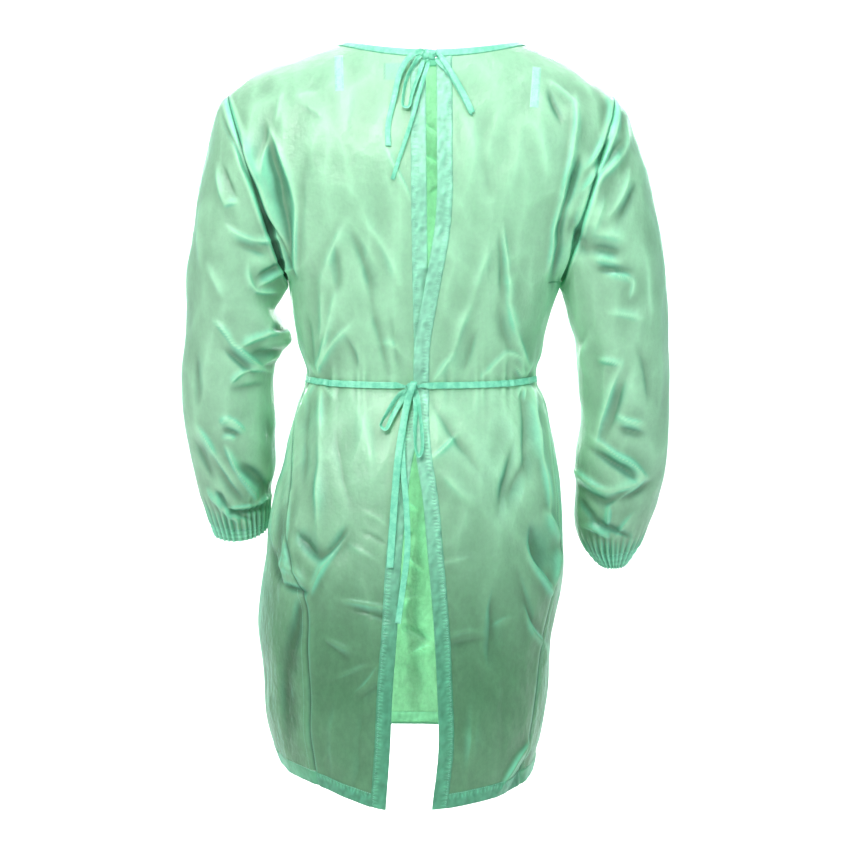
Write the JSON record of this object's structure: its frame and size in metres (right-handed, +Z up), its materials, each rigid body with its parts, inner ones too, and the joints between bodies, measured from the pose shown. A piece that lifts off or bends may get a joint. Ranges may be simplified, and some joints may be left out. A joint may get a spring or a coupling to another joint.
{
  "type": "medical gown",
  "caption": "Long-sleeved back-tie isolation gown in thin mint cloth, hollow as worn, with gathered cuffs, a bound neck, and tape ties at the nape and the waist.",
  "frame": {"origin": "between the two neck points, on top of the shoulders, where the gown hangs on its wearer", "axes": "+Z up along the wearer's body, +Y the way the wearer faces, so the open back faces -Y, +X to the wearer's right"},
  "size_m": [0.6872, 0.3757, 1.026],
  "materials": {
    "cloth": "thin tightly woven polyester, smooth and slightly glossy, lets some light through",
    "band": "the same cloth turned and stitched, so denser and lighter",
    "tape": "folded bias tape, soft sheen",
    "label": "blank woven label, matt"
  },
  "bodies": {
    "root": {"front_panel": "cloth", "back_panel_left": "cloth", "back_panel_right": "cloth", "sleeve_left": "cloth", "sleeve_right": "cloth", "cuff_left": "cloth", "cuff_right": "cloth", "back_edge_band_left": "band", "back_edge_band_right": "band", "hem_band_front": "band", "hem_band_back_left": "band", "hem_band_back_right": "band", "neck_binding": "tape", "neck_knot": "tape", "neck_loop_left": "tape", "neck_loop_right": "tape", "neck_tail_outer": "tape", "neck_tail_inner": "tape", "neck_label": "label", "shoulder_tape_left": "tape", "shoulder_tape_right": "tape", "waist_knot": "tape", "waist_loop_left": "tape", "waist_loop_right": "tape", "waist_tail_outer": "tape", "waist_tail_inner": "tape", "waist_tie_left": "tape", "waist_tie_right": "tape"}
  },
  "joints": []
}
